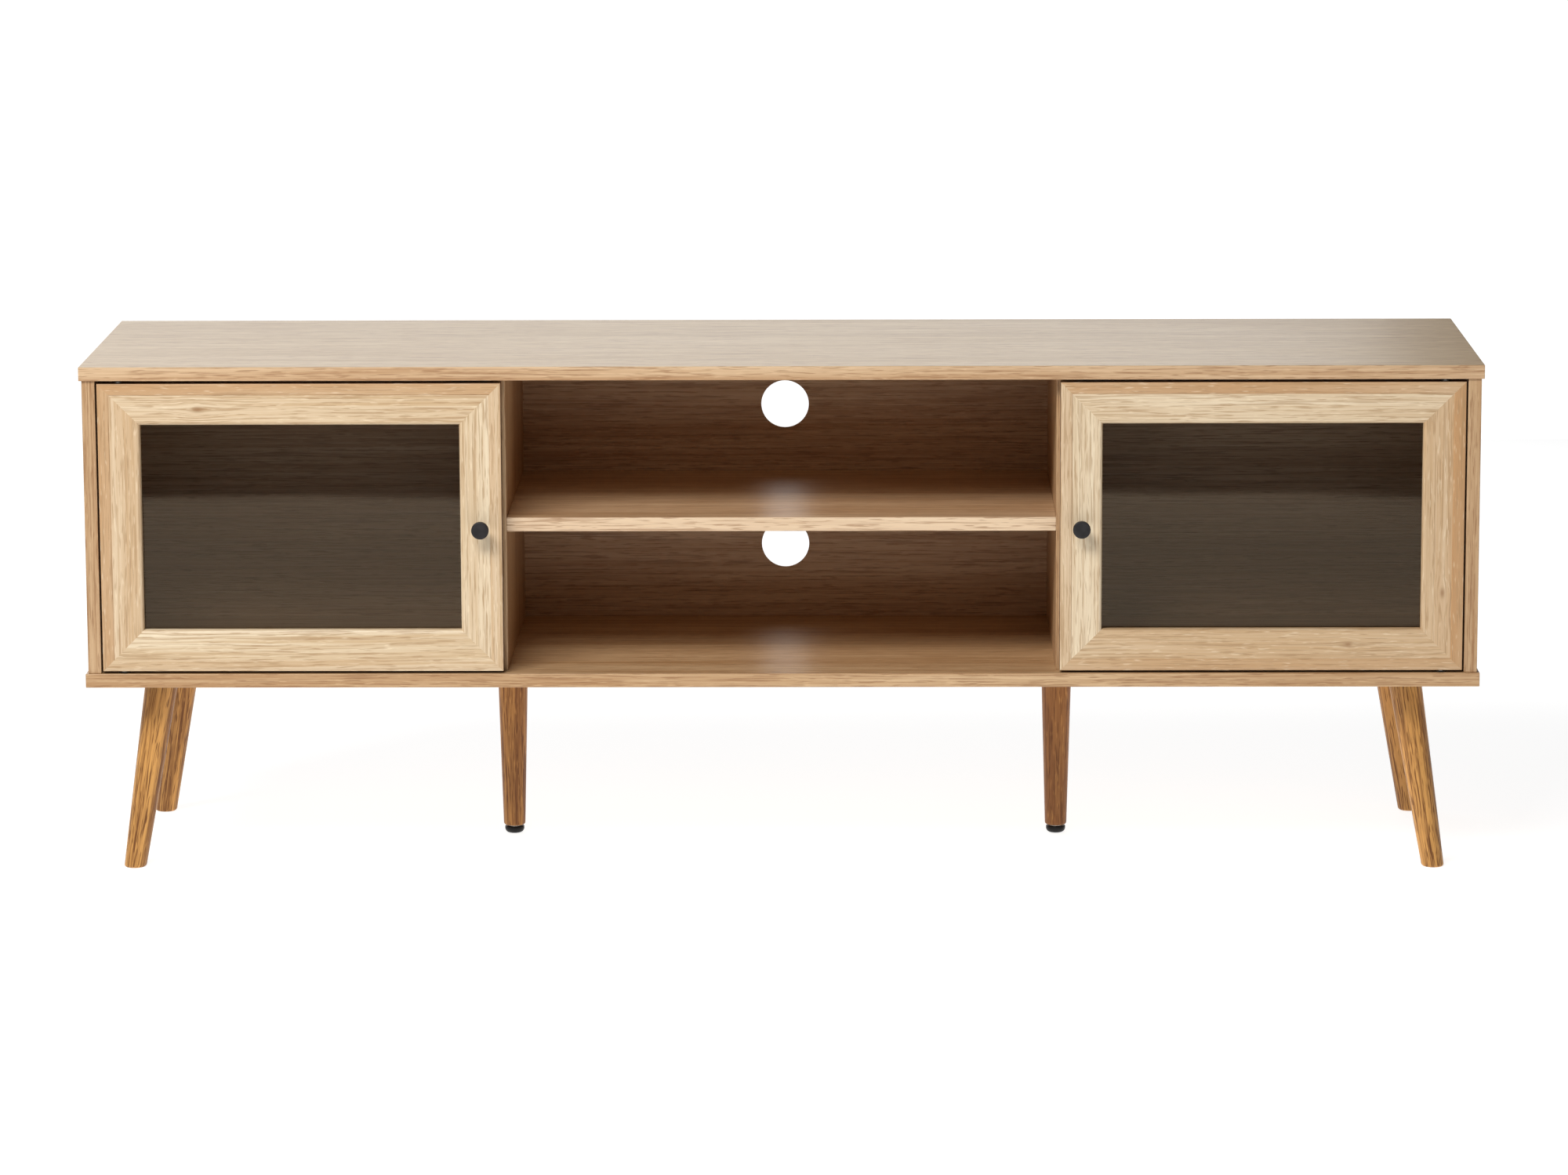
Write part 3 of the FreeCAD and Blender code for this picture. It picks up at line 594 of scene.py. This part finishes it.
def mitred_rail(name, finish, start, end, inward, section, shift, timber):
    """One member of a door frame, cut to a mitre at both ends.

    Its grain runs from start to end; shift moves it to its own stretch of timber.
    """
    along = (end - start).normalized()
    length = (end - start).length
    bm = bmesh.new()
    grain = bm.verts.layers.float_vector.new("grain")
    from_edge = bm.verts.layers.float.new("from_edge")
    band = bm.verts.layers.float.new("band")
    brown = bm.verts.layers.float.new("brown")
    rings = []
    for station in range(RAIL_STATIONS + 1):
        ring = []
        for width, depth in section:
            reach = width + (length - 2 * width) * station / RAIL_STATIONS
            vert = bm.verts.new(start + along * reach + inward * width + Y * depth)
            vert[grain] = (reach + shift, width + shift * 0.5, depth)
            vert[from_edge] = width
            vert[band], vert[brown] = timber
            ring.append(vert)
        rings.append(ring)
    count = len(section)
    for ring, following in zip(rings, rings[1:]):
        for i in range(count):
            j = (i + 1) % count
            bm.faces.new((ring[i], ring[j], following[j], following[i]))
    bm.faces.new(rings[0])
    bm.faces.new(list(reversed(rings[-1])))
    return new_object(name, mesh_from(bm, name, smooth_angle=0.5), finish)


def door(side, oak_finish, glass_finish, knob_finish):
    """Frame, pane and knob of one door. side is left or right."""
    body = side + "_door"
    prefix = body + "_"
    low = Vector(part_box(prefix + "bottom_rail")[0])
    high = Vector(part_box(prefix + "top_rail")[1])
    rail_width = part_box(prefix + "bottom_rail")[1].z - low.z
    pane_low, pane_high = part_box(prefix + "glass_pane")
    section = rail_section(rail_width, high.y - low.y, pane_low.y - low.y)
    corner = {
        (x_name, z_name): Vector((x, low.y, z))
        for x_name, x in (("left", low.x), ("right", high.x))
        for z_name, z in (("low", low.z), ("high", high.z))
    }
    left_stile, right_stile = "hinge_stile", "knob_stile"
    first_cut = LEFT_DOOR_CUT
    if side == "right":
        left_stile, right_stile = right_stile, left_stile
        first_cut = RIGHT_DOOR_CUT
    rails = (
        ("bottom_rail", corner["left", "low"], corner["right", "low"], Z),
        ("top_rail", corner["left", "high"], corner["right", "high"], -Z),
        (left_stile, corner["left", "low"], corner["left", "high"], X),
        (right_stile, corner["right", "low"], corner["right", "high"], -X),
    )
    for number, (name, start, end, inward) in enumerate(rails):
        rail = mitred_rail(prefix + name + "_moulding", oak_finish, start, end, inward, section,
                           first_cut + RAIL_CUT_SPACING * number, RAIL_TIMBER[prefix + name])
        settle(rail, body, "frame_oak", prefix + name)
    pane = rounded_slab(prefix + "pane", glass_finish, pane_low, pane_high, PANE_EDGE)
    settle(pane, body, "smoked_glass", prefix + "glass_pane")
    settle(knob(prefix + "turned_knob", prefix + "knob", knob_finish), body, "black_metal", prefix + "knob")


def knob(name, node, finish):
    """A flat round knob, its face very slightly dished, on a waisted stem."""
    low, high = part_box(node)
    radius = (high.x - low.x) / 2
    length = high.y - low.y
    foot = Vector(((low.x + high.x) / 2, high.y, (low.z + high.z) / 2))
    back = length - KNOB_HEAD
    rim = KNOB_RIM
    outline = [(0, KNOB_FOOT), (0.6 * MM, KNOB_FOOT)]
    outline += [(1.2 * MM + i * 0.6 * MM, KNOB_STEM + KNOB_FLARE * (1 - i / 4) ** 2) for i in range(5)]
    outline += [(back - 0.8 * MM, KNOB_STEM), (back, KNOB_STEM + 0.8 * MM)]
    outline += [(h, r) for r, h in arc((radius - rim, back + rim), rim, 270, 360, 5)]
    outline += [(h, r) for r, h in arc((radius - rim, length - rim), rim, 0, 90, 6)]
    outline += [(length - 0.15 * MM, radius * 0.55), (length - 0.2 * MM, radius * 0.2)]
    return turned(name, finish, foot, -Y, outline, KNOB_SIDES)


# ---------------------------------------------------------------- geometry node trees

class Builder(Tree):
    """A geometry tree with named inputs, run once to make a plain mesh."""

    def __init__(self, name, sockets):
        group = bpy.data.node_groups.new(name, "GeometryNodeTree")
        group.interface.new_socket("Geometry", in_out="OUTPUT", socket_type="NodeSocketGeometry")
        self.identifiers = {}
        for label, kind in sockets:
            socket = group.interface.new_socket(label, in_out="INPUT", socket_type=kind)
            self.identifiers[label] = socket.identifier
        super().__init__(group)
        self.entry = group.nodes.new("NodeGroupInput")

    def given(self, label):
        return Link(self, self.entry.outputs[label])

    def end(self, geometry, finish):
        solid = self.node("GeometryNodeRealizeInstances", {}, {"Geometry": geometry})
        coated = self.node("GeometryNodeSetMaterial", {}, {"Geometry": solid, "Material": finish})
        self.node("NodeGroupOutput", {}, {"Geometry": coated})

    def make(self, name, carrier, **values):
        """Runs the tree on the carrier mesh and returns the result as a new piece."""
        holder = bpy.data.objects.new(name + "_holder", carrier)
        bpy.context.scene.collection.objects.link(holder)
        modifier = holder.modifiers.new("tree", "NODES")
        modifier.node_group = self.node_tree
        for label, value in values.items():
            modifier[self.identifiers[label]] = value
        graph = bpy.context.evaluated_depsgraph_get()
        mesh = bpy.data.meshes.new_from_object(holder.evaluated_get(graph))
        holder.modifiers.remove(modifier)
        bpy.data.objects.remove(holder)
        piece = bpy.data.objects.new(name, mesh)
        bpy.context.scene.collection.objects.link(piece)
        return piece


def leg_builder(finish):
    """A tapered leg on a slanting axis, sawn level at both ends, with a rounded foot."""
    tree = Builder("tapered_leg", (
        ("Foot", "NodeSocketVector"), ("Top", "NodeSocketVector"),
        ("FootRadius", "NodeSocketFloat"), ("TopRadius", "NodeSocketFloat"), ("Edge", "NodeSocketFloat"),
        ("Grain", "NodeSocketFloat"), ("Brown", "NodeSocketFloat"),
    ))
    blank = tree.node("GeometryNodeMeshCylinder", {"fill_type": "TRIANGLE_FAN"}, {
        "Vertices": LEG_SIDES, "Side Segments": LEG_STATIONS, "Radius": 1.0, "Depth": 1.0})
    position = tree.node("GeometryNodeInputPosition", {}, {})
    x, y, z = tree.separate(position)
    share = (z + 0.5) ** 1.6
    axis = tree.vector("SUBTRACT", tree.given("Top"), tree.given("Foot"))
    length = tree.vector("LENGTH", axis, output="Value")
    height = share * length
    plain_radius = tree.given("FootRadius") + (tree.given("TopRadius") - tree.given("FootRadius")) * share
    edge = tree.given("Edge")
    below = tree.math("MAXIMUM", 1.0 - height / edge, 0.0)
    trim = edge * (1.0 - tree.math("SQRT", 1.0 - below * below * 0.999))
    radius = plain_radius - trim
    lean_x, lean_y, lean_z = tree.separate(tree.vector("NORMALIZE", axis))
    stretch = (x * lean_x + y * lean_y) / (lean_z * (1.0 + lean_z))
    across = tree.combine(radius * (x + lean_x * stretch), radius * (y + lean_y * stretch), 0.0)
    centre = tree.vector("ADD", tree.given("Foot"), tree.scaled(axis, share))
    grain = tree.combine(height + tree.given("Grain"), x * radius, y * radius)
    marked = tree.node("GeometryNodeStoreNamedAttribute", {"data_type": "FLOAT_VECTOR", "domain": "POINT"}, {
        "Geometry": blank, "Name": "grain", "Value": grain})
    # Each leg's share of painted shade, for its finish
    toned = tree.node("GeometryNodeStoreNamedAttribute", {"data_type": "FLOAT", "domain": "POINT"}, {
        "Geometry": marked, "Name": "brown", "Value": tree.given("Brown")})
    moved = tree.node("GeometryNodeSetPosition", {}, {
        "Geometry": toned, "Position": tree.vector("ADD", centre, across)})
    smooth = tree.node("GeometryNodeSetShadeSmooth", {}, {"Geometry": moved, "Shade Smooth": True})
    tree.end(smooth, finish)
    return tree


def scatter_builder(name, finish):
    """One fastener at every point of the carrier, facing along the point's own axis."""
    tree = Builder(name, (("Points", "NodeSocketGeometry"), ("Fastener", "NodeSocketObject")))
    fastener = tree.node("GeometryNodeObjectInfo", {}, {"Object": tree.given("Fastener")}, "Geometry")
    spin = tree.node("FunctionNodeRandomValue", {"data_type": "FLOAT"}, {"Max": math.pi, "Seed": 5}, 1)
    heading = tree.node("GeometryNodeInputNamedAttribute", {"data_type": "FLOAT_VECTOR"}, {"Name": "axis"})
    turn = tree.node("FunctionNodeAlignRotationToVector", {"axis": "Z"}, {"Vector": heading})
    own_turn = tree.node("FunctionNodeEulerToRotation", {}, {"Euler": tree.combine(0.0, 0.0, spin)})
    turn = tree.node("FunctionNodeRotateRotation", {"rotation_space": "LOCAL"}, {
        "Rotation": turn, "Rotate By": own_turn})
    placed = tree.node("GeometryNodeInstanceOnPoints", {}, {
        "Points": tree.given("Points"), "Instance": fastener, "Rotation": turn})
    tree.end(placed, finish)
    return tree


# ---------------------------------------------------------------- legs and fasteners

def level_disc(node, level):
    """Centre and half widths of the part of a node that lies at one level."""
    near = 0.05 * MM
    places = [vert.co for vert in frame["nodes"][node].data.vertices if abs(vert.co.z - level) < near]
    low = Vector((min(p.x for p in places), min(p.y for p in places), level))
    high = Vector((max(p.x for p in places), max(p.y for p in places), level))
    return (low + high) / 2, (high - low) / 2


def leg(node, tree, number):
    """One leg, its ends and radii read from the node that it stands for."""
    low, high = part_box(node)
    foot, foot_half = level_disc(node, low.z)
    top, top_half = level_disc(node, high.z)
    lean = (top - foot).normalized()
    stretch = math.sqrt(1 + (lean.y / lean.z) ** 2)
    piece = tree.make(node + "_turned", bpy.data.meshes.new(node), Foot=foot, Top=top,
                      FootRadius=foot_half.y / stretch + FOOT_EDGE, TopRadius=top_half.y / stretch,
                      Edge=FOOT_EDGE, Grain=LEG_CUT_SPACING * number, Brown=LEG_PAINTED_SHADE[node])
    piece.data.set_sharp_from_angle(angle=0.7)
    settle(piece, "cabinet", "leg_oak", node)


def solids_of(node):
    """Lowest and highest corner of each separate solid in a node."""
    bm = bmesh.new()
    bm.from_mesh(frame["nodes"][node].data)
    bmesh.ops.remove_doubles(bm, verts=bm.verts, dist=0.001 * MM)
    boxes = []
    seen = set()
    for first in bm.verts:
        if first in seen:
            continue
        seen.add(first)
        group = [first]
        for vert in group:
            for edge in vert.link_edges:
                other = edge.other_vert(vert)
                if other not in seen:
                    seen.add(other)
                    group.append(other)
        low = Vector(min(v.co[i] for v in group) for i in range(3))
        high = Vector(max(v.co[i] for v in group) for i in range(3))
        boxes.append((low, high))
    bm.free()
    return boxes


def carved(name, blank, cutters, finish):
    """A blank with shapes taken out of it, as one plain mesh."""
    for cutter in cutters:
        modifier = blank.modifiers.new("cut", "BOOLEAN")
        modifier.operation = "DIFFERENCE"
        modifier.solver = "EXACT"
        modifier.object = cutter
    graph = bpy.context.evaluated_depsgraph_get()
    mesh = bpy.data.meshes.new_from_object(blank.evaluated_get(graph))
    for spent in [blank, *cutters]:
        bpy.data.objects.remove(spent)
    mesh.set_sharp_from_angle(angle=0.5)
    return new_object(name, mesh, finish)


def cross_cutters(length, width, depth, finish):
    """Two crossed slots, centred on the origin, that reach a little above it."""
    cutters = []
    for size in ((length, width), (width, length)):
        half = Vector((size[0] / 2, size[1] / 2, depth))
        cutters.append(rounded_slab("recess", finish, -half, half, SLOT_EDGE))
    return cutters


def screw_pattern(length, head_radius, shank_radius, finish):
    """A countersunk screw pointing down from its head at the origin, with a ridged thread."""
    head_height = head_radius - shank_radius
    outline = [(0, head_radius - 0.2 * MM), (-0.15 * MM, head_radius), (-0.4 * MM, head_radius)]
    outline += [(-head_height - 0.4 * MM, shank_radius)]
    turns = int((length - head_height - 3 * MM) / THREAD_PITCH)
    for turn in range(turns):
        height = -head_height - 1.0 * MM - turn * THREAD_PITCH
        outline += [(height, shank_radius * THREAD_ROOT), (height - THREAD_PITCH / 2, shank_radius)]
    outline += [(-length + 0.6 * MM, shank_radius * 0.4), (-length, 0.1 * MM)]
    blank = turned("screw_blank", finish, Vector(), Z, outline, SCREW_SIDES)
    cutters = cross_cutters(1.2 * head_radius, SCREW_SLOT_WIDTH, SCREW_SLOT_DEPTH, finish)
    return carved("screw_pattern", blank, cutters, finish)


def cam_pattern(radius, depth, finish):
    """A cam lock with a cross slot and a stepped rim, face at the origin, body below."""
    outline = [(0, radius - 1.6 * MM), (-0.25 * MM, radius - 1.5 * MM), (-0.25 * MM, radius - 0.9 * MM)]
    outline += [(0, radius - 0.8 * MM), (-0.05 * MM, radius - 0.2 * MM), (-0.3 * MM, radius)]
    outline += [(-depth + 0.3 * MM, radius), (-depth, radius - 0.3 * MM)]
    blank = turned("cam_blank", finish, Vector(), Z, outline, CAM_SIDES)
    cutters = cross_cutters(CAM_SLOT_LENGTH, CAM_SLOT_WIDTH, CAM_SLOT_DEPTH, finish)
    return carved("cam_pattern", blank, cutters, finish)


def scattered(name, node, pattern, places, finish, slot):
    """Sets one copy of a pattern at each (point, axis) and lets the result stand for the node."""
    carrier = bpy.data.meshes.new(name)
    carrier.from_pydata([point for point, axis in places], [], [])
    axes = carrier.attributes.new("axis", "FLOAT_VECTOR", "POINT")
    axes.data.foreach_set("vector", [value for point, axis in places for value in axis])
    tree = scatter_builder(name, finish)
    piece = tree.make(name, carrier, Fastener=pattern)
    bpy.data.objects.remove(pattern)
    settle(piece, "cabinet", slot, node)


def plate_screws(finish):
    """The screws that hold the leg plates, heads down."""
    boxes = solids_of("leg_plate_screws")
    low, high = boxes[0]
    pattern = screw_pattern(high.z - low.z, (high.x - low.x) / 2, SCREW_SHANK, finish)
    places = [(Vector(((a.x + b.x) / 2, (a.y + b.y) / 2, a.z)), -Z) for a, b in boxes]
    scattered("leg_plate_screw_set", "leg_plate_screws", pattern, places, finish, "zinc")


def cam_locks(finish):
    """The cam locks, each facing out of the board that it sits in.

    Those of the shelf face down. Those of the dividers face away from the middle of the cabinet,
    and those of the sides face towards it.
    """
    boxes = solids_of("cam_locks")
    depth = min(min(b - a) for a, b in boxes)
    radius = max(max(b - a) for a, b in boxes) / 2
    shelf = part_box("centre_shelf")
    places = []
    for low, high in boxes:
        middle = (low + high) / 2
        if abs(low.z - shelf[0].z) < MM:
            places.append((Vector((middle.x, middle.y, low.z)), -Z))
            continue
        in_divider = abs(middle.x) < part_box("right_divider")[1].x
        outward = math.copysign(1, middle.x) * (1 if in_divider else -1)
        face_x = high.x if outward > 0 else low.x
        places.append((Vector((face_x, middle.y, middle.z)), X * outward))
    pattern = cam_pattern(radius, depth, finish)
    scattered("cam_lock_set", "cam_locks", pattern, places, finish, "zinc")


def leveller_pad(side, finish):
    """A pad with a rounded sole, a grip ring and a narrow flat on the floor."""
    node = side + "_leveller_pad"
    low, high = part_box(node)
    radius = (high.x - low.x) / 2
    height = high.z - low.z
    foot = Vector(((low.x + high.x) / 2, (low.y + high.y) / 2, low.z))
    sole = PAD_SOLE
    crown = PAD_CROWN
    outline = [(0.3 * MM, radius - sole - 1.5 * MM), (0, radius - sole - 0.7 * MM)]
    outline += [(h, r) for r, h in arc((radius - sole, sole), sole, 270, 360, 9)]
    outline += [(sole + 0.5 * MM, radius), (sole + 0.8 * MM, radius - 0.25 * MM), (sole + 1.1 * MM, radius)]
    outline += [(h, r) for r, h in arc((radius - crown, height - crown), crown, 8, 90, 4)]
    piece = turned(node + "_moulded", finish, foot, Z, outline, PAD_SIDES)
    settle(piece, side + "_leveller", "black_plastic", node)


def build_pieces():
    """Coats every CAD piece and builds the pieces that stand for some of them."""
    boards = {
        # The top's upper face carries half of a painted sheen tone
        "top_panel": board_oak("oak_foil_top", "X", TOP_CUT, coat=0.2, facing=(Z, 0.5, TOP_PAINTED_SHEEN_TONE)),
        "bottom_panel": board_oak("oak_foil_bottom", "X", BOTTOM_CUT, BOTTOM_PALE, BOTTOM_DEEP, coat=0.25),
        # The shelf's front edge is paler, partly painted light
        "centre_shelf": board_oak(
            "oak_foil_shelf", "X", SHELF_CUT, coat=0.45, facing=(-Y, 0.42, SHELF_EDGE_BANDING_AND_PAINTED_LIGHT)),
    }
    back_panels = board_oak("oak_foil_back", "X", BACK_CUT, facing=(Y, 1.0, RAW_BOARD_TONE), raw=True)
    uprights = board_oak("oak_foil_uprights", "Z", UPRIGHT_CUT, UPRIGHT_PALE, UPRIGHT_DEEP)
    frame_finish = frame_oak(DOOR_KNOTS)
    leg_finish = leg_oak()
    zinc = metal("zinc_plate", ZINC_TONE, 0.3)
    black_coat = moulded("black_powder_coat", COAT_TONE, 0.42)
    finishes = {
        "zinc": zinc,
        "black_metal": black_coat,
        "black_steel": moulded("black_paint", PAINT_TONE, 0.45, 0.02 * MM),
        "black_plastic": moulded("black_moulding", BLACK_PLASTIC_TONE, 0.4),
        "white_plastic": moulded("white_catch_moulding", WHITE_PLASTIC_TONE, 0.35),
        "magnet": metal("ground_ferrite", FERRITE_TONE, 0.5, metallic=0.4),
        "beech": board_oak("bare_beech", "Z", BEECH_CUT, BEECH_PALE, BEECH_DEEP),
        "leg_oak": leg_finish,
        "frame_oak": frame_finish,
    }
    glass = smoked_glass()
    slots = {entry["node"]: entry["material_slot"] for entry in frame["record"]["subparts"]}
    for node, piece in frame["nodes"].items():
        if node in boards:
            finish = boards[node]
        elif node.endswith("_back_panel"):
            finish = back_panels
        elif node.endswith(("_side_panel", "_divider")):
            finish = uprights
        elif slots[node] == "smoked_glass":
            finish = glass
        else:
            finish = finishes[slots[node]]
        for slot in piece.material_slots:
            slot.material = finish
    for side in ("left", "right"):
        door(side, frame_finish, glass, black_coat)
        leveller_pad(side, finishes["black_plastic"])
    legs = [node for node in sorted(frame["nodes"]) if node.endswith("_leg")]
    tree = leg_builder(leg_finish)
    for number, node in enumerate(legs):
        leg(node, tree, number)
    plate_screws(zinc)
    cam_locks(zinc)


# ---------------------------------------------------------------- studio

def area_light(name, place, target, width, height, watts):
    """A soft rectangular light that points at its target and is not itself seen."""
    light = bpy.data.lights.new(name, "AREA")
    light.shape = "RECTANGLE"
    light.size = width
    light.size_y = height
    light.energy = watts
    lamp = bpy.data.objects.new(name, light)
    lamp.location = place
    lamp.rotation_euler = (target - place).to_track_quat("-Z", "Y").to_euler()
    lamp.visible_camera = False
    bpy.context.scene.collection.objects.link(lamp)


def studio():
    """A pale floor, a bright wall of light behind and a high key light to the left.

    The front edge of the floor is mirrored in the panes. The air is white where the camera looks
    straight at it, and otherwise adds only a faint light.
    """
    corners = [(FLOOR_LEFT, FLOOR_FRONT, 0), (FLOOR_RIGHT, FLOOR_FRONT, 0),
               (FLOOR_RIGHT, FLOOR_REAR, 0), (FLOOR_LEFT, FLOOR_REAR, 0)]
    mesh = bpy.data.meshes.new("floor")
    mesh.from_pydata(corners, [], [(0, 1, 2, 3)])
    new_object("floor", mesh, studio_floor())
    area_light("key", KEY_PLACE, KEY_TARGET, KEY_WIDTH, KEY_HEIGHT, KEY_WATTS)
    area_light("rear_wall", WALL_PLACE, WALL_TARGET, WALL_WIDTH, WALL_HEIGHT, WALL_WATTS)
    world = bpy.data.worlds.new("studio_air")
    world.use_nodes = True
    air = Tree(world.node_tree)
    world.node_tree.nodes.clear()
    seen = air.node("ShaderNodeLightPath", {}, {}, "Is Camera Ray")
    glow = air.node("ShaderNodeBackground", {}, {"Color": WHITE, "Strength": seen + AIR_GLOW})
    air.node("ShaderNodeOutputWorld", {}, {"Surface": glow})
    bpy.context.scene.world = world
    bpy.context.scene.view_settings.view_transform = "Standard"


def camera():
    """The camera, turned by its heading, tilt and roll."""
    tilt, heading, roll = CAMERA_TILT, CAMERA_HEADING, CAMERA_ROLL
    ahead = Vector((math.sin(heading) * math.cos(tilt), math.cos(heading) * math.cos(tilt), -math.sin(tilt)))
    level_right = Vector((math.cos(heading), -math.sin(heading), 0))
    level_up = level_right.cross(ahead)
    right = level_right * math.cos(roll) + level_up * math.sin(roll)
    up = level_up * math.cos(roll) - level_right * math.sin(roll)
    data = bpy.data.cameras.new("camera")
    data.sensor_width = SENSOR_WIDTH
    data.lens = CAMERA_LENS
    data.clip_end = 60
    view = bpy.data.objects.new("camera", data)
    view.matrix_world = Matrix.Translation(CAMERA_PLACE) @ Matrix((right, up, -ahead)).transposed().to_4x4()
    bpy.context.scene.collection.objects.link(view)
    bpy.context.scene.camera = view


camera()
studio()
build_pieces()
